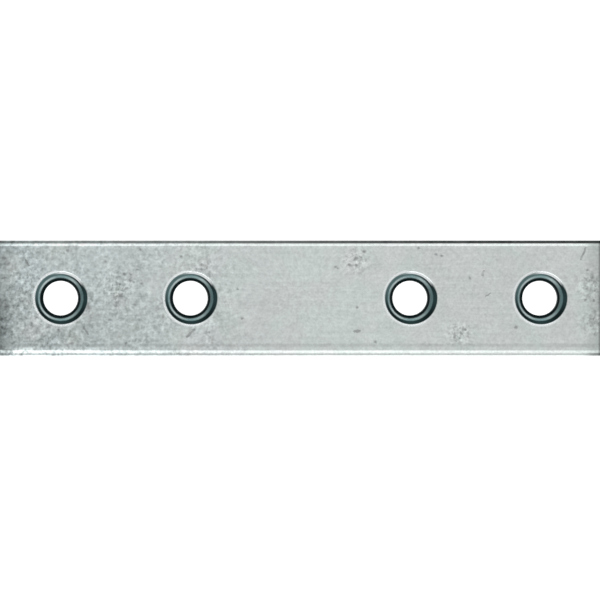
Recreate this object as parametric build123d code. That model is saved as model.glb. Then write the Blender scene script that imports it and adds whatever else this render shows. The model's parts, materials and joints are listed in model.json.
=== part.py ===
from build123d import *
import math
import os

# A flat steel mending plate: screw holes in one line along a strip that was sheared to width
# and length, coined with countersinks, pierced, tumbled and zinc plated. The origin is the
# centre of the back face, which lies on the wood. +X runs along the plate, +Y across it, and
# +Z out of the face that the screw heads sit in. Millimetres and degrees.

# The strip
plate_length = 100.0
plate_width = 19.0
plate_thickness = 2.0
corner_radius = 0.4  # the four upright corners, knocked round by tumbling

# The sheared edges: the face rolls down into each cut, and tumbling takes the burr off the back
side_roll_width = 1.1  # along the two long edges
side_roll_depth = 0.35
end_roll_width = 0.5  # along the two short ends
end_roll_depth = 0.2
burr_radius = 0.12

# The screw holes, a pair towards each end
end_to_hole = 10.5  # from an end of the plate to the nearest hole
hole_pitch = 21.4  # from that hole to the next
bore_diameter = 5.7
back_chamfer = 0.12  # where the bore breaks out through the back

# The countersinks, pressed by a punch that sits a little off the piercing punch
sink_diameter = 8.2  # across the cone at the face, before its rim is rounded
sink_angle = 90.0
sink_shift = 0.2  # from the bore's axis, along +X
rim_radius = 1.0  # between the face and the cone
lip_radius = 0.25  # between the cone and the bore

overrun = plate_thickness  # how far a cutting solid runs past the faces that it cuts


def sheared_section(span, roll_width, roll_depth):
    """The strip's section from one cut edge to the other, its back along the sketch's X axis."""
    half_span = span / 2
    roll_start = half_span - roll_width
    shoulder = plate_thickness - roll_depth
    with BuildSketch() as section:
        with BuildLine():
            Line((0, 0), (half_span - burr_radius, 0))
            CenterArc((half_span - burr_radius, burr_radius), burr_radius, -90, 90)
            Line((half_span, burr_radius), (half_span, shoulder))
            EllipticalCenterArc((roll_start, shoulder), roll_width, roll_depth)
            Line((roll_start, plate_thickness), (0, plate_thickness))
            mirror(about=Plane.YZ)
        make_face()
    return section.sketch


def blank():
    """The strip before any hole: what its plan and its two sections have in common."""
    plan = RectangleRounded(plate_length, plate_width, corner_radius)
    across = Plane.YZ * sheared_section(plate_width, side_roll_width, side_roll_depth)
    along = Plane.XZ * sheared_section(plate_length, end_roll_width, end_roll_depth)
    strip = extrude(plan, plate_thickness)
    strip &= extrude(across, plate_length / 2 + overrun, both=True)
    strip &= extrude(along, plate_width / 2 + overrun, both=True)
    return strip


def screw_hole():
    """The space of one hole: a bore that opens into the cone for a flat screw head."""
    bore_radius = bore_diameter / 2
    slope = math.tan(math.radians(sink_angle / 2))
    mouth_radius = sink_diameter / 2 + overrun * slope
    standing = (Align.CENTER, Align.CENTER, Align.MIN)
    hanging = (Align.CENTER, Align.CENTER, Align.MAX)

    bore = Pos(0, 0, -overrun) * Cylinder(
        bore_radius, plate_thickness + 2 * overrun, align=standing
    )
    sink = Pos(sink_shift, 0, plate_thickness + overrun) * Cone(
        0, mouth_radius, mouth_radius / slope, align=hanging
    )
    hole = bore + sink
    rings = hole.faces().filter_by(GeomType.CONE).edges().filter_by(GeomType.LINE, reverse=True)
    lip = [edge for edge in rings if edge.center().Z < plate_thickness]
    hole = fillet(lip, lip_radius)

    breakout_height = back_chamfer + overrun
    breakout = Pos(0, 0, back_chamfer) * Cone(
        bore_radius + breakout_height, bore_radius, breakout_height, align=hanging
    )
    return hole + breakout


def mending_plate():
    """The finished plate: the blank with its holes, and the rims of the countersinks rounded."""
    outer = plate_length / 2 - end_to_hole
    inner = outer - hole_pitch
    hole = screw_hole()
    plate = blank()
    for x in (-outer, -inner, inner, outer):
        plate -= Pos(x, 0, 0) * hole
    rings = plate.edges().filter_by(lambda edge: edge.is_closed)
    rims = rings.group_by(Axis.Z)[-1]
    return fillet(rims, rim_radius)


os.makedirs("parts", exist_ok=True)
export_step(mending_plate(), "parts/plate.step")
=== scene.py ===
"""A zinc-plated steel mending plate on a pale floor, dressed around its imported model."""

import json
import math

import bmesh
import bpy
from mathutils import Matrix, Vector


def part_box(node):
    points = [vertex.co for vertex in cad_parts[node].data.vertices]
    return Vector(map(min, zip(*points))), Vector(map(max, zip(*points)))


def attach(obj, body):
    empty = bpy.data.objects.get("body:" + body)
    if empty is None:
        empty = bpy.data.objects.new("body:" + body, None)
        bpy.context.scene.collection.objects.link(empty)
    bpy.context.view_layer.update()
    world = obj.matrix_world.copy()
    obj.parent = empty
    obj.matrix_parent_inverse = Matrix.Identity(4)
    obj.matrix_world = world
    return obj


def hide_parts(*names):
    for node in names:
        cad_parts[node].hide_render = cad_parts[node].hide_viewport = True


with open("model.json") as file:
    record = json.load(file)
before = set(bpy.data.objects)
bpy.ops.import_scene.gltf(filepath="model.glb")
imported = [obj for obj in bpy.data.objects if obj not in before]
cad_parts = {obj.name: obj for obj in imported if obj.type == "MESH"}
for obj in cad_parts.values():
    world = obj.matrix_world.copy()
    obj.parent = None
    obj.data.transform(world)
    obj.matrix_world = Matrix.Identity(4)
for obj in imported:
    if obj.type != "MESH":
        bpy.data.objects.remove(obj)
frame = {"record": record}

bl_info = {
    "name": "Mending plate",
    "version": (1, 0, 0),
    "blender": (4, 5, 0),
    "location": "3D View > Sidebar > Mending plate",
    "description": "Models a countersunk mending plate, its zinc finish and a plain studio",
    "category": "Object",
}

MM = 0.001
NODE = "plate"
BACK, FACE = (corner.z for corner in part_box(NODE))
LENGTH, WIDTH = (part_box(NODE)[1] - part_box(NODE)[0]).xy
BORES = [mount for mount in frame["record"]["mounts"] if mount["kind"] == "bore"]
HOLES = sorted(Vector(bore["pos_m"]).xy for bore in BORES)

# How finely the curved forms are meshed
ROLL_STEPS = 9
RIM_CUTS = 4  # between the square grid and the rim of a countersink
SINK_CUTS = 15  # between that rim and the bore
LIP_SEGMENTS = 4
BURR_SEGMENTS = 3
WINDOW = 6 * MM  # half the side of the square around a hole that is meshed in rings


# ---------------------------------------------------------------------------------------------
# What a user would change
# ---------------------------------------------------------------------------------------------


def size(name, description, millimetres):
    """A length that the panel shows, given here in millimetres."""
    return bpy.props.FloatProperty(
        name=name,
        description=description,
        default=millimetres * MM,
        min=0,
        precision=5,
        subtype="DISTANCE",
        unit="LENGTH",
    )


def colour(name, description, red, green, blue):
    """A colour that the panel shows."""
    return bpy.props.FloatVectorProperty(
        name=name,
        description=description,
        default=(red, green, blue),
        size=3,
        min=0,
        max=1,
        subtype="COLOR",
    )


def strength(name, description, default):
    """A brightness that the panel shows."""
    return bpy.props.FloatProperty(name=name, description=description, default=default, min=0)


class PlateShape(bpy.types.PropertyGroup):
    """Sizes of the plate's own forms, beyond the length, width and thickness of its model."""

    corner_radius: size("Corner radius", "Rounding of the four upright corners", 0.4)
    side_roll_width: size("Side roll width", "Reach of the roll-over along a long edge", 1.1)
    side_roll_depth: size("Side roll depth", "Drop of the roll-over along a long edge", 0.35)
    end_roll_width: size("End roll width", "Reach of the roll-over along an end", 0.5)
    end_roll_depth: size("End roll depth", "Drop of the roll-over along an end", 0.2)
    burr_radius: size("Burr radius", "Rounding of the edges of the back", 0.12)
    bore_radius: size("Bore radius", "Radius of a screw hole", BORES[0]["dims"]["r_mm"])
    sink_radius: size("Countersink radius", "Radius of the cone at the face", 4.1)
    sink_shift: size("Countersink shift", "How far the cones sit along the plate", 0.2)
    rim_radius: size("Rim radius", "Rounding between the face and the cone", 1.0)
    lip_radius: size("Lip radius", "Rounding between the cone and the bore", 0.25)
    mesh_step: size("Mesh step", "Side of the squares that the face is meshed in", 0.5)


class ZincFinish(bpy.types.PropertyGroup):
    """Colours of the plating, and of the light and shade painted around its holes."""

    warm: colour("Warm zinc", "Patches of the face with a pink cast", 0.622, 0.652, 0.646)
    green: colour("Green zinc", "Patches of the face with a green cast", 0.602, 0.66, 0.638)
    stain: colour("Stain", "The dull zinc towards the left end", 0.575, 0.65, 0.65)
    mark: colour("Marks", "Pits and scratches in the face", 0.38, 0.39, 0.39)
    # The three countersink colours below paint the cones' reflection and shade: lit on the
    # diagonals, dim on the shaded side
    recess_shade: colour("Recess", "Thin plating in the countersinks", 0.36, 0.53, 0.54)
    recess_lit: colour("Lit recess", "The same plating at its brightest", 0.72, 0.84, 0.84)
    recess_dim: colour("Dim recess", "The same plating on the dark side", 0.16, 0.26, 0.265)
    # A painted shadow ring outside the cone
    shadow: colour("Shadow", "The dark ring outside that plating", 0.018, 0.037, 0.038)
    # Painted shade on the lip
    lip: colour("Lip", "The dark lip between countersink and bore", 0.006, 0.014, 0.015)
    # A painted highlight on the rim of each countersink, where the rim is also a little smoother
    glint_and_polish: colour("Polish", "The bright ring on the rim of a countersink", 0.93, 0.97, 0.98)


class Studio(bpy.types.PropertyGroup):
    """The camera, the lights and the floor."""

    lens: bpy.props.FloatProperty(
        name="Lens", description="Focal length of the camera", default=250, min=35, unit="CAMERA"
    )
    crop: size("Crop", "How much of each end of the plate the picture leaves out", 0.615)
    camera_shift: size("Camera shift", "How far the camera stands towards -Y", 0.305)
    overhead: strength("Overhead light", "Radiance of the wide light above the plate", 0.12)
    near_side: strength("Near light", "Radiance of the light on the -Y side", 1.05)
    far_side: strength("Far light", "Radiance of the light on the +Y side", 0.86)
    horizon: strength("Horizon", "Brightness of the tent at its foot", 1.0)
    crown: strength("Crown", "Brightness of the tent at its top", 0.6)
    floor_glow: strength("Floor glow", "Light that comes through the floor paper", 0.75)


# ---------------------------------------------------------------------------------------------
# The plate's mesh
# ---------------------------------------------------------------------------------------------


def spread(start, stop, step):
    """Values from start up to but without stop, evenly spaced about one step apart."""
    count = max(1, round((stop - start) / step))
    return [start + (stop - start) * index / count for index in range(count)]


def roll_lines(width):
    """Distances from a cut edge of the lines that follow a quarter ellipse, from its edge in."""
    turns = [math.pi / 2 * index / ROLL_STEPS for index in range(ROLL_STEPS)]
    return [width * (1 - math.cos(turn)) for turn in turns]


def plan_lines(half_length, roll_width, step, marks):
    """Where mesh lines cross one direction of the plan, through the rolls and the given marks."""
    roll = [half_length - inset for inset in roll_lines(roll_width)]
    stops = [roll_width - half_length, *marks, half_length - roll_width]
    middle = [line for pair in zip(stops, stops[1:]) for line in spread(*pair, step)]
    return [-line for line in roll] + middle + [stops[-1]] + roll[::-1]


def plan_sheet(shape):
    """A flat sheet in the plate's plan, with a square window at each hole."""
    across = sorted(hole.x + side * WINDOW for hole in HOLES for side in (-1, 1))
    x_lines = plan_lines(LENGTH / 2, shape.end_roll_width, shape.mesh_step, across)
    y_lines = plan_lines(WIDTH / 2, shape.side_roll_width, shape.mesh_step, (-WINDOW, WINDOW))
    columns, rows = len(x_lines) - 1, len(y_lines) - 1

    sheet = bmesh.new()
    bmesh.ops.create_grid(sheet, x_segments=columns, y_segments=rows, size=0.5)
    for vert in sheet.verts:
        vert.co.x = x_lines[round((vert.co.x + 0.5) * columns)]
        vert.co.y = y_lines[round((vert.co.y + 0.5) * rows)]
    windows = [
        face
        for face in sheet.faces
        if any(
            abs(face.calc_center_median().x - hole.x) < WINDOW
            and abs(face.calc_center_median().y) < WINDOW
            for hole in HOLES
        )
    ]
    bmesh.ops.delete(sheet, geom=windows, context="FACES")
    return sheet


def near(edges, hole, reach):
    """Those edges whose both ends lie within reach of a hole, measured along X and Y."""
    return [
        edge
        for edge in edges
        if all(max(abs(v.co.x - hole.x), abs(v.co.y - hole.y)) < reach for v in edge.verts)
    ]


def ring(sheet, centre, radius, depth, count):
    """A circle of edges below the sheet."""
    place = Matrix.Translation((*centre, -depth))
    made = bmesh.ops.create_circle(sheet, segments=count, radius=radius, matrix=place)
    return list({edge for vert in made["verts"] for edge in vert.link_edges})


def span(sheet, outer, inner, cuts):
    """Rings of faces between two loops of edges, which pair up best one above the other."""
    made = bmesh.ops.bridge_loops(sheet, edges=outer + inner)
    bmesh.ops.subdivide_edges(sheet, edges=made["edges"], cuts=cuts, use_grid_fill=True)


def sink_axis(shape, hole):
    """Where the axis of a countersink meets the face: a little off the axis of its bore."""
    return hole + Vector((shape.sink_shift, 0))


def rim_reach(shape):
    """The radius at which the rounded rim of a countersink runs out into the face."""
    return shape.sink_radius + shape.rim_radius * math.tan(math.pi / 8)


def pierce(sheet, shape, hole):
    """Rings of faces that lead from a square window to the round edge of the bore."""
    open_edges = [edge for edge in sheet.edges if edge.is_boundary]
    border = near(open_edges, hole, WINDOW + shape.mesh_step / 2)
    rim = ring(sheet, sink_axis(shape, hole), rim_reach(shape), WINDOW, len(border))
    span(sheet, border, rim, RIM_CUTS)
    bore = ring(sheet, hole, shape.bore_radius, 2 * WINDOW, len(border))
    span(sheet, rim, bore, SINK_CUTS)


def round_corners(sheet, radius):
    """Turns the square corners of the plan into quarter circles, with the lines beside them."""
    for vert in sheet.verts:
        past = Vector((abs(vert.co.x) - LENGTH / 2 + radius, abs(vert.co.y) - WIDTH / 2 + radius))
        if min(past) > 0:
            past *= max(past) / past.length
            vert.co.x = math.copysign(LENGTH / 2 - radius + past.x, vert.co.x)
            vert.co.y = math.copysign(WIDTH / 2 - radius + past.y, vert.co.y)


def rolled(distance, width, depth):
    """How far the face has dropped at a distance in from a cut edge, along a quarter ellipse."""
    inside = min(max(1 - distance / width, 0), 1)
    return depth * (1 - math.sqrt(1 - inside * inside))


def sunk(distance, shape):
    """How far the face has dropped at a distance from the axis of a right-angled countersink."""
    start = rim_reach(shape)
    if distance >= start:
        return 0
    if distance > start - shape.rim_radius * math.sin(math.pi / 4):
        return shape.rim_radius - math.sqrt(shape.rim_radius**2 - (start - distance) ** 2)
    return shape.sink_radius - distance


def press(verts, shape):
    """Sets each point of the flat face to the height that it has on the finished plate."""
    for vert in verts:
        place = vert.co.xy
        drop = max(
            rolled(WIDTH / 2 - abs(place.y), shape.side_roll_width, shape.side_roll_depth),
            rolled(LENGTH / 2 - abs(place.x), shape.end_roll_width, shape.end_roll_depth),
            *(sunk((place - sink_axis(shape, hole)).length, shape) for hole in HOLES),
        )
        vert.co.z = FACE - drop


def rounded(body, edges, offset, segments):
    """Bevels edges to an arc."""
    bmesh.ops.bevel(
        body,
        geom=edges,
        offset=offset,
        segments=segments,
        profile=0.5,
        affect="EDGES",
        material=-1,
        clamp_overlap=True,
    )


def plate_body(shape):
    """The plate as one closed mesh: a pressed face, a flat back, and the walls between them."""
    body = plan_sheet(shape)
    for hole in HOLES:
        pierce(body, shape, hole)
    round_corners(body, shape.corner_radius)
    for vert in body.verts:
        vert.co.z = BACK
    raised = bmesh.ops.extrude_face_region(body, geom=body.faces[:], use_keep_orig=True)
    face_verts = {item for item in raised["geom"] if isinstance(item, bmesh.types.BMVert)}
    press(face_verts, shape)

    just_past_bore = shape.bore_radius * 1.001
    lips = [
        edge
        for edge in body.edges
        if face_verts.issuperset(edge.verts)
        and any(all((v.co.xy - hole).length < just_past_bore for v in edge.verts) for hole in HOLES)
    ]
    back_edges = [
        edge
        for edge in body.edges
        if not face_verts.intersection(edge.verts) and edge.calc_face_angle(0) > 1
    ]
    rounded(body, lips, shape.lip_radius * math.tan(math.pi / 8), LIP_SEGMENTS)
    rounded(body, back_edges, shape.burr_radius, BURR_SEGMENTS)
    bmesh.ops.recalc_face_normals(body, faces=body.faces)
    return body


def as_object(name, body, material):
    """Turns a finished bmesh into a smooth object of the scene, with one material."""
    mesh = bpy.data.meshes.new(name)
    body.to_mesh(mesh)
    body.free()
    mesh.materials.append(material)
    mesh.shade_smooth()
    piece = bpy.data.objects.new(name, mesh)
    bpy.context.scene.collection.objects.link(piece)
    return piece


# ---------------------------------------------------------------------------------------------
# Materials
# ---------------------------------------------------------------------------------------------


# Marks on the face, in millimetres of the plate's own X and Y. A pit or a patch: X, Y, reach.
PITS = (
    (9.2, 6.5, 0.5),
    (8.1, 5.5, 0.4),
    (9.3, 5.4, 0.4),
    (5.9, 5.2, 0.4),
    (-9.5, -3.3, 0.35),
    (-10.3, 1.6, 0.35),
    (9.4, -1.5, 0.35),
    (12.4, -7.2, 0.4),
    (22.4, 7.2, 0.35),
    (23.4, 7.0, 0.4),
    (19.5, 8.2, 0.35),
    (25.4, -6.4, 0.4),
    (26.6, -5.8, 0.45),
    (27.2, -5.2, 0.35),
    (35.6, -4.8, 0.5),
    (28.0, 3.3, 0.4),
    (47.0, -0.3, 0.4),
    (48.4, -0.4, 0.35),
    (-29.6, 0.5, 0.45),
    (-30.4, -1.2, 0.4),
    (-26.3, 8.0, 0.35),
    (-18.6, -6.3, 0.35),
    (-28.7, 1.6, 0.4),
    (-28.0, 2.9, 0.35),
    (-28.9, 4.0, 0.4),
    (-26.8, 4.7, 0.35),
    (-26.1, 2.4, 0.4),
    (-31.3, -3.5, 0.4),
    (-28.7, -7.4, 0.4),
    (-34.8, -1.4, 0.6),
    (-37.6, -7.5, 0.45),
    (-38.3, 7.8, 0.4),
    (-32.0, 6.0, 0.35),
    (-48.8, 6.6, 0.5),
    (-19.6, 6.9, 0.35),
    (10.6, 7.7, 0.4),
    (6.3, 4.9, 0.3),
    (48.2, 3.4, 0.5),
    (47.4, 4.6, 0.4),
    (48.6, -2.2, 0.5),
)
WORN_PATCHES = (
    (9.2, 6.2, 3.2),
    (26.2, -6.0, 3.0),
    (48.0, 2.0, 4.0),
    (-30.0, 1.5, 6.0),
    (-35.0, -1.5, 2.5),
    (-46.0, 2.0, 8.0),
    (48.5, -4.0, 3.5),
    (-16.5, 4.5, 4.0),
)
# A scratch: its start, its end and its width
SCRATCHES = (
    ((-18.6, -6.3), (-17.4, -5.2), 0.22),
    ((8.9, -5.5), (9.8, -5.4), 0.25),
    ((30.1, 3.7), (30.2, 4.5), 0.22),
    ((30.6, 0.4), (31.4, 0.8), 0.12),
    ((46.2, 6.4), (47.1, 8.3), 0.22),
    ((-35.6, -4.8), (-34.9, -5.9), 0.2),
    ((-45.2, 6.3), (-44.6, 5.4), 0.2),
)


# Where a Mix node keeps the sockets that it uses for colours
MIX_FACTOR, MIX_A, MIX_B, MIX_RESULT = 0, 6, 7, 2
FAR = 100.0  # more millimetres than any point of the plate is from its nearest hole


def bearing(degrees):
    """The level direction that is so many degrees round from +X towards +Y."""
    turn = math.radians(degrees)
    return (math.cos(turn), math.sin(turn), 0)


def opaque(colour):
    """A colour of the panel as a colour socket takes it."""
    return (*colour, 1)


class Number:
    """A number that varies over a surface. Arithmetic on it adds Math nodes to its finish."""

    def __init__(self, finish, socket):
        self.finish = finish
        self.socket = socket

    def math(self, operation, first, second):
        """The result of one Math node."""
        inputs = {0: first, 1: second}
        made = self.finish.node("ShaderNodeMath", {"operation": operation}, inputs)
        return Number(self.finish, made.outputs[0])

    def __add__(self, other):
        return self.math("ADD", self, other)

    def __radd__(self, other):
        return self.math("ADD", other, self)

    def __sub__(self, other):
        return self.math("SUBTRACT", self, other)

    def __rsub__(self, other):
        return self.math("SUBTRACT", other, self)

    def __mul__(self, other):
        return self.math("MULTIPLY", self, other)

    def __rmul__(self, other):
        return self.math("MULTIPLY", other, self)

    def __truediv__(self, other):
        return self.math("DIVIDE", self, other)

    def __rtruediv__(self, other):
        return self.math("DIVIDE", other, self)

    def __abs__(self):
        return self.math("ABSOLUTE", self, 0.0)

    def least(self, other):
        """The lower of two numbers."""
        return self.math("MINIMUM", self, other)

    def most(self, other):
        """The higher of two numbers."""
        return self.math("MAXIMUM", self, other)


class Finish:
    """The nodes of a material, or of the world, under construction."""

    def __init__(self, owner):
        self.owner = owner
        owner.use_nodes = True
        owner.node_tree.nodes.clear()

    def node(self, kind, settings=None, inputs=None):
        """Adds a node: first its settings, then each input as a plain value or a link."""
        made = self.owner.node_tree.nodes.new(kind)
        for name, value in (settings or {}).items():
            setattr(made, name, value)
        for key, value in (inputs or {}).items():
            if isinstance(value, Number):
                value = value.socket
            if isinstance(value, bpy.types.NodeSocket):
                self.owner.node_tree.links.new(value, made.inputs[key])
            else:
                made.inputs[key].default_value = value
        return made

    def vector(self, operation, *vectors, **others):
        """A Vector Math node's vector."""
        inputs = {**dict(enumerate(vectors)), **others}
        return self.node("ShaderNodeVectorMath", {"operation": operation}, inputs).outputs[0]

    def measure(self, operation, first, second):
        """A Vector Math node's number."""
        inputs = {0: first, 1: second}
        made = self.node("ShaderNodeVectorMath", {"operation": operation}, inputs)
        return Number(self, made.outputs["Value"])

    def distance(self, first, second):
        """How far apart two points are."""
        return self.measure("DISTANCE", first, second)

    def along(self, vector, direction):
        """How far a vector reaches in a direction."""
        return self.measure("DOT_PRODUCT", vector, direction)

    def from_line(self, point, start, end):
        """How far a point is from the straight line between start and end."""
        run = Vector(end) - Vector(start)
        out = self.vector("SUBTRACT", point, start)
        share = (self.along(out, run) / run.length_squared).most(0).least(1)
        return self.distance(out, self.vector("SCALE", run, Scale=share))

    def combined(self, *numbers):
        """The vector that three numbers make."""
        return self.node("ShaderNodeCombineXYZ", inputs=dict(enumerate(numbers))).outputs[0]

    def axes(self, vector):
        """The three numbers of a vector."""
        made = self.node("ShaderNodeSeparateXYZ", inputs={0: vector})
        return [Number(self, socket) for socket in made.outputs]

    def rise(self, value, low, high):
        """0 below low, 1 above high, and a smooth step between."""
        settings = {"interpolation_type": "SMOOTHSTEP"}
        inputs = {"Value": value, "From Min": low, "From Max": high}
        return Number(self, self.node("ShaderNodeMapRange", settings, inputs).outputs["Result"])

    def fall(self, value, low, high):
        """1 below low, 0 above high, and a smooth step between."""
        return 1 - self.rise(value, low, high)

    def band(self, value, low, high, soft):
        """1 between low and high, and 0 outside, with edges as wide as soft."""
        into = self.rise(value, low - soft / 2, low + soft / 2)
        out_of = self.rise(value, high - soft / 2, high + soft / 2)
        return into - out_of

    def cloud(self, vector, per_mm, detail, roughness):
        """A noise node with about so many lumps to a millimetre."""
        inputs = {"Vector": vector, "Scale": per_mm, "Detail": detail, "Roughness": roughness}
        return self.node("ShaderNodeTexNoise", inputs=inputs)

    def noise(self, vector, per_mm, detail=2.0, roughness=0.5):
        """Cloudy noise from 0 to 1."""
        return Number(self, self.cloud(vector, per_mm, detail, roughness).outputs[0])

    def ragged(self, vector, per_mm, reach):
        """A vector pushed about level by noise, so that what is drawn on it has a torn outline."""
        colours = self.cloud(vector, per_mm, 2.0, 0.5).outputs["Color"]
        push = self.vector("SUBTRACT", colours, (0.5, 0.5, 0.5))
        return self.vector("MULTIPLY_ADD", push, (reach, reach, 0), vector)

    def spots(self, point, places):
        """1 at the middle of each spot in a list of X, Y and reach, and 0 past its reach."""
        found = 0.0
        for x, y, reach in places:
            found = self.fall(self.distance(point, (x, y, 0)), 0, reach).most(found)
        return found

    def strokes(self, point, lines):
        """1 along each line in a list of start, end and width, and 0 beside it."""
        found = 0.0
        for start, end, width in lines:
            away = self.from_line(point, (*start, 0), (*end, 0))
            found = self.fall(away, width / 2, width).most(found)
        return found

    def mix(self, factor, first, second):
        """The first colour where factor is 0, and the second where it is 1."""
        settings = {"data_type": "RGBA", "clamp_factor": True}
        inputs = {MIX_FACTOR: factor, MIX_A: first, MIX_B: second}
        return self.node("ShaderNodeMix", settings, inputs).outputs[MIX_RESULT]

    def tinted(self, colour, strength):
        """A colour made lighter or darker by a number that varies."""
        return self.vector("SCALE", colour, Scale=strength)

    def surface(self, inputs):
        """Ends a material in one shader with these inputs."""
        shader = self.node("ShaderNodeBsdfPrincipled", inputs=inputs)
        self.node("ShaderNodeOutputMaterial", inputs={"Surface": shader.outputs[0]})
        return self.owner


class Zinc(Finish):
    """The plating, with the places and zones of the plate that its layers share, in millimetres."""

    def __init__(self, shape, look):
        super().__init__(bpy.data.materials.new("zinc_plate"))
        self.shape = shape
        self.look = look
        place = self.node("ShaderNodeTexCoord").outputs["Object"]
        self.point = self.vector("SCALE", place, Scale=1 / MM)
        self.flat = self.vector("MULTIPLY", self.point, (1, 1, 0))
        self.x, self.y, self.z = self.axes(self.point)
        self.from_side = WIDTH / 2 / MM - abs(self.y)
        self.from_end = LENGTH / 2 / MM - abs(self.x)
        self.open_face = self.rise(self.z, 0.9, 1.2)
        self.upper = self.rise(self.y, -1, 1)
        self.left_half = self.fall(self.x, -52, 8)
        self.left_end = self.fall(self.x, -50.5, -45.5)
        self.right_end = self.rise(self.x, 46, 49)

    def marks(self):
        """Pits, scratches and specks on the face, and how worn it is around them."""
        point = self.ragged(self.flat, 1.5, 0.5)
        worn = self.spots(point, WORN_PATCHES)
        specks = self.rise(self.noise(self.point, 2.0, 2.0, 0.6), 0.54, 0.68) * worn * 0.7
        broken = self.rise(self.noise(self.point, 1.6), 0.3, 0.6)
        scratches = self.strokes(point, SCRATCHES) * (0.3 + 0.6 * broken)
        marks = self.spots(point, PITS).most(scratches).most(specks)
        return marks * self.open_face, worn

    def skin(self, worn):
        """The tone and height of the metal: grain, clouds, rolling lines, and a leathery left."""
        grain = self.noise(self.point, 2.6, 3.0, 0.6)
        leather = self.noise(self.point, 1.35, 1.5, 0.6)
        clouds = self.noise(self.point, 0.22)
        rolling = self.noise(self.combined(self.x * 0.04, self.y * 2.2, 0), 1.0, 3.0, 0.6)
        peel = self.rise(self.noise(self.combined(self.x, self.y, self.z + 9), 0.3), 0.44, 0.58)
        coarse = (0.2 + 0.22 * peel) * self.fall(self.x, -17, -5) * (1.3 - 0.35 * self.upper)
        coarse = coarse + self.fall(self.x, -50, -26) * (0.68 - 0.25 * self.upper)
        coarse = coarse.most(worn * 0.85)

        tone = 1 + (grain - 0.5) * (0.45 + coarse * 0.6) + (leather - 0.5) * (0.3 + coarse * 1.7)
        tone = tone + (clouds - 0.5) * 0.16 + (rolling - 0.5) * 0.22
        return tone, grain * (0.4 + coarse) + leather * (0.3 + coarse * 2)

    def left_and_end_darkening(self):
        """How much darker the tone gets: over the left half, more on its -Y side, and at both ends.
        """
        left = 1 - self.left_half * (0.25 - 0.12 * self.upper)
        ends = (1 - self.left_end * (0.6 - 0.2 * self.upper)) * (1 - self.right_end * 0.18)
        return left * ends

    def walls(self):
        """The tone of the sheared walls, and where they are torn below the blade's rubbed band."""
        wall = self.fall(self.from_side.least(self.from_end), 0.02, 0.08)
        wall = wall * self.fall(self.z, 1.55, 1.7)
        streaks = self.noise(self.combined(self.x * 3, self.y * 3, self.z * 0.3), 1.0, 2.0, 0.6)
        torn = self.fall(self.z + streaks * 0.6, 1.15, 1.35) * wall
        return 1 - wall * 0.1 - torn * 0.22 + wall * (streaks - 0.5) * 0.5, torn

    def edges(self):
        """Painted highlights and shade on the long edges and the right end, where the face rolls
        down.
        """
        roll = self.shape.side_roll_width / MM
        beads = self.noise(self.combined(self.x, 0, 0), 0.4, 3.0, 0.6) - 0.5
        # A painted highlight along the middle of each roll, brighter on the left half and fainter
        # at the right end's +Y corner
        painted_roll_highlight = self.band(self.from_side, 0.46 * roll, 0.82 * roll, 0.12)
        painted_roll_highlight = painted_roll_highlight * (0.45 + self.left_half * 0.3) * (1 - self.right_end * self.upper * 0.9)
        # Painted shade on the outer edge of the +Y roll, darker towards the right; a painted
        # highlight on the outer edge of the -Y roll, turning to painted shade at the right end
        brink_shade_and_light = self.upper * (0.34 + 0.52 * self.rise(self.x, -56, 36) + beads * 0.3)
        brink_shade_and_light = brink_shade_and_light + (1 - self.upper) * (self.right_end * 0.55 - 0.28)
        brink_shade_and_light = brink_shade_and_light * self.fall(self.from_side, 0.38 * roll, 0.49 * roll)
        # A line of painted shade just inside the -Y roll
        crease_shade = self.band(self.from_side, 1.5, 2.0, 0.3) * (1 - self.upper) * (0.13 + beads * 0.3)
        # A painted highlight over the -Y roll on the left
        gleam = self.fall(self.from_side, 0.9, 1.8) * (1 - self.upper) * self.fall(self.x, -52, -18)
        # Painted shade on the right end's roll
        end = self.fall(self.from_end, 0.65, 1.0) * self.right_end * 0.5
        tone = (1 + painted_roll_highlight) * (1 + gleam * 0.45) * (1 - brink_shade_and_light) * (1 - crease_shade) * (1 - end)
        return 1 + (tone - 1) * self.open_face

    def recesses(self):
        """Painted shade and highlights around the holes, lowest layer first: each a mask and its
        colour.
        """
        bore, rim = self.shape.bore_radius / MM, rim_reach(self.shape) / MM
        from_bore, from_sink = FAR, FAR
        glint, tips, shaded_side, crown, corners = 0.0, 0.0, 0.0, 0.0, 0.0
        for hole in HOLES:
            axis = (*sink_axis(self.shape, hole) / MM, 0)
            to_sink = self.distance(self.flat, axis)
            close = self.fall(to_sink, rim + 0.5, rim + 1.5)
            outward = self.vector("NORMALIZE", self.vector("SUBTRACT", self.flat, axis))
            slant = self.along(outward, bearing(0)) * self.along(outward, bearing(90)) * 2
            from_bore = self.distance(self.flat, (*hole / MM, 0)).least(from_bore)
            from_sink = to_sink.least(from_sink)
            # Masks for the painted light on each ring: the painted highlight's crescent and its two
            # ends, the shaded side, the upper left where the painted shadow is lighter, and the
            # diagonals where the cone carries a painted reflection of the tent's corners
            lit = self.along(outward, bearing(68))
            glint = glint + close * self.rise(lit, 0.76, 0.94)
            # The two ends of the painted highlight's crescent, where the painted shadow thins out
            # under it
            tips = tips + close * self.rise(lit, 0.5, 0.95) * self.fall(lit, 0.76, 0.94)
            shaded_side = shaded_side + close * self.rise(self.along(outward, bearing(-5)), 0.3, 1.0)
            crown = crown + close * self.rise(self.along(outward, bearing(122)), 0.2, 1.0)
            corners = corners + close * slant * slant

        # Every border lies so many millimetres out from a bore, or in or out from a rim
        look = self.look
        # The cone's tone is a painted reflection: lighter on the diagonals, painted shade on the
        # shaded side
        plating = self.mix(corners, opaque(look.recess_shade), opaque(look.recess_lit))
        plating = self.mix(shaded_side, plating, opaque(look.recess_dim))
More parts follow.
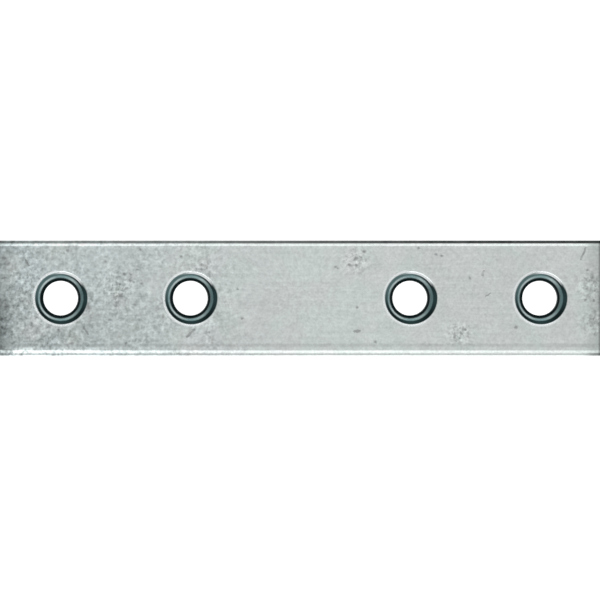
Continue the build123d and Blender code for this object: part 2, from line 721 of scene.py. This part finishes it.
        # A painted shadow ring round the cone, darker on the diagonals and lighter towards the
        # upper left
        shade = self.tinted(look.shadow, 1.5 - corners)
        shade = self.mix(crown * 0.7, shade, opaque(look.recess_dim))
        midway = (from_bore + from_sink) / 2
        past_lip = self.rise(from_bore, bore + 0.4, bore + 0.62)
        shadow = past_lip * self.fall(from_sink, rim - 0.29 - tips * 0.42, rim - 0.09)
        core = past_lip * self.fall(midway, bore + 0.73, bore + 1.0)
        # Painted shade on the lip and the upper part of the bore wall
        lip = (1 - past_lip) * self.rise(self.z, 0.35, 0.75)
        # A painted highlight: a faint halo round the rim, and a bright crescent towards the upper
        # right
        halo = self.band(from_sink, rim - 0.17, rim + 0.17, 0.16) * (1 - shaded_side) * (1 - glint) * 0.7
        crescent = self.band(midway, rim - 0.51, rim - 0.07, 0.12) * glint
        return {
            # Painted shade: the bore wall at half brightness
            "bore": (self.fall(from_bore, bore + 0.03, bore + 0.11) * 0.5, (0, 0, 0, 1)),
            "shadow": (shadow * self.open_face, shade),
            "core": (core * self.open_face, plating),
            "lip": (lip, opaque(look.lip)),
            "glint_and_polish": (halo.most(crescent) * self.open_face, opaque(look.glint_and_polish)),
        }


def zinc_plate(shape, look):
    """Bright zinc, stained on the left, with painted light and shade at the holes and the edges."""
    zinc = Zinc(shape, look)
    marks, worn = zinc.marks()
    skin, relief = zinc.skin(worn)
    walls, torn = zinc.walls()
    layers = zinc.recesses()
    tone = skin * zinc.left_and_end_darkening() * walls * zinc.edges() * (1 - marks * 0.45)

    cast = zinc.rise(zinc.noise(zinc.point, 0.18, 3.0, 0.6), 0.36, 0.64)
    clean = zinc.mix(cast, opaque(look.warm), opaque(look.green))
    stained = zinc.left_half * zinc.rise(zinc.noise(zinc.flat, 0.14), 0.25, 0.6)
    stained = stained.most(zinc.left_end)
    colour = zinc.tinted(zinc.mix(stained, clean, opaque(look.stain)), tone)
    colour = zinc.mix(marks * 0.4, colour, opaque(look.mark))
    for mask, layer in layers.values():
        colour = zinc.mix(mask, colour, layer)

    # Less metallic where the lip and the ring are painted dark, which deepens the painted shade
    dull = layers["lip"][0] + layers["shadow"][0] * (1 - layers["core"][0]) * 0.8
    height = relief * (1 + torn * 3) - marks * 2
    bump = {"Strength": 1.0, "Distance": 0.02 * MM, "Height": height}
    return zinc.surface(
        {
            "Base Color": colour,
            "Metallic": 1 - dull,
            "Roughness": 0.34 + torn * 0.2 + marks * 0.1 - layers["glint_and_polish"][0] * 0.12,
            "Specular IOR Level": 0.0,
            "Normal": zinc.node("ShaderNodeBump", inputs=bump).outputs[0],
        }
    )


def floor_paper(glow):
    """Pale paper, lit from behind, so that it stays white under the plate's edges."""
    paper = Finish(bpy.data.materials.new("floor_paper"))
    return paper.surface(
        {
            "Base Color": (0.9, 0.9, 0.9, 1),
            "Roughness": 0.9,
            "Emission Color": (1, 1, 1, 1),
            "Emission Strength": glow,
        }
    )


# ---------------------------------------------------------------------------------------------
# The studio
# ---------------------------------------------------------------------------------------------


def softbox(name, place, width, height, radiance):
    """A square light that faces the plate's centre."""
    lamp = bpy.data.lights.new(name, "AREA")
    lamp.shape = "RECTANGLE"
    lamp.size = width
    lamp.size_y = height
    lamp.energy = radiance * math.pi * width * height
    box = bpy.data.objects.new(name, lamp)
    box.location = place
    box.rotation_euler = (-Vector(place)).to_track_quat("-Z", "Y").to_euler()
    box.visible_camera = False
    bpy.context.scene.collection.objects.link(box)


def white_tent(studio):
    """A white world around the plate, from the brightness of its foot to that of its top."""
    tent = Finish(bpy.data.worlds.new("tent"))
    up = tent.axes(tent.node("ShaderNodeTexCoord").outputs["Generated"])[2]
    glow = studio.horizon + (studio.crown - studio.horizon) * tent.rise(up, 0.1, 0.6)
    cloth = tent.node("ShaderNodeBackground", inputs={"Color": tent.tinted((1, 1, 1), glow)})
    tent.node("ShaderNodeOutputWorld", inputs={"Surface": cloth.outputs[0]})
    return tent.owner


def camera_above(studio):
    """A camera that looks straight down and leaves out a little of each end of the plate."""
    lens = bpy.data.cameras.new("camera")
    lens.lens = studio.lens
    lens.clip_start = 0.01
    shown = LENGTH - 2 * studio.crop
    camera = bpy.data.objects.new("camera", lens)
    camera.location = (0, -studio.camera_shift, FACE + shown / lens.sensor_width * lens.lens)
    bpy.context.scene.collection.objects.link(camera)
    return camera


def make_studio(studio):
    """A white floor and tent, a wide light overhead, one low on each side, and the camera."""
    scene = bpy.context.scene
    sheet = bmesh.new()
    gap = Matrix.Translation((0, 0, BACK - 0.02 * MM))
    bmesh.ops.create_grid(sheet, x_segments=1, y_segments=1, size=2.0, matrix=gap)
    as_object("floor", sheet, floor_paper(studio.floor_glow))

    softbox("overhead_panel", (0, 0, 1.4), 1.1, 1.1, studio.overhead)
    softbox("near_panel", (-0.10, -0.31, 0.95), 0.5, 0.28, studio.near_side)
    softbox("far_panel", (0, 0.22, 0.97), 0.8, 0.16, studio.far_side)
    scene.world = white_tent(studio)
    scene.camera = camera_above(studio)
    scene.view_settings.view_transform = "Standard"


# ---------------------------------------------------------------------------------------------
# Operators, panel and registration
# ---------------------------------------------------------------------------------------------


class OBJECT_OT_mending_plate(bpy.types.Operator):
    """Model the countersunk plate and give it its zinc"""

    bl_idname = "object.mending_plate"
    bl_label = "Mending plate"
    bl_options = {"REGISTER", "UNDO"}

    def execute(self, context):
        shape, look = context.scene.plate_shape, context.scene.zinc_finish
        plate = as_object("mending_plate", plate_body(shape), zinc_plate(shape, look))
        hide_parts(NODE)
        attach(plate, "root")
        return {"FINISHED"}


class SCENE_OT_plate_studio(bpy.types.Operator):
    """Set up the floor, the lights and the camera"""

    bl_idname = "scene.plate_studio"
    bl_label = "Studio"
    bl_options = {"REGISTER", "UNDO"}

    def execute(self, context):
        make_studio(context.scene.plate_studio)
        return {"FINISHED"}


class VIEW3D_PT_mending_plate(bpy.types.Panel):
    """Lists the plate's sizes and finish, and the operators that make it"""

    bl_idname = "VIEW3D_PT_mending_plate"
    bl_label = "Mending plate"
    bl_space_type = "VIEW_3D"
    bl_region_type = "UI"
    bl_category = "Mending plate"

    def draw(self, context):
        scene = context.scene
        for title, group, operator in (
            ("Plate", scene.plate_shape, OBJECT_OT_mending_plate),
            ("Zinc", scene.zinc_finish, None),
            ("Studio", scene.plate_studio, SCENE_OT_plate_studio),
        ):
            box = self.layout.box()
            box.label(text=title)
            for name in group.__annotations__:
                box.prop(group, name)
            if operator:
                box.operator(operator.bl_idname)


CLASSES = (
    PlateShape,
    ZincFinish,
    Studio,
    OBJECT_OT_mending_plate,
    SCENE_OT_plate_studio,
    VIEW3D_PT_mending_plate,
)


def register():
    for cls in CLASSES:
        bpy.utils.register_class(cls)
    bpy.types.Scene.plate_shape = bpy.props.PointerProperty(type=PlateShape)
    bpy.types.Scene.zinc_finish = bpy.props.PointerProperty(type=ZincFinish)
    bpy.types.Scene.plate_studio = bpy.props.PointerProperty(type=Studio)


def unregister():
    del bpy.types.Scene.plate_shape
    del bpy.types.Scene.zinc_finish
    del bpy.types.Scene.plate_studio
    for cls in reversed(CLASSES):
        bpy.utils.unregister_class(cls)


def main():
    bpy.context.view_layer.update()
    register()
    bpy.ops.object.mending_plate()
    bpy.ops.scene.plate_studio()


if __name__ == "__main__":
    main()
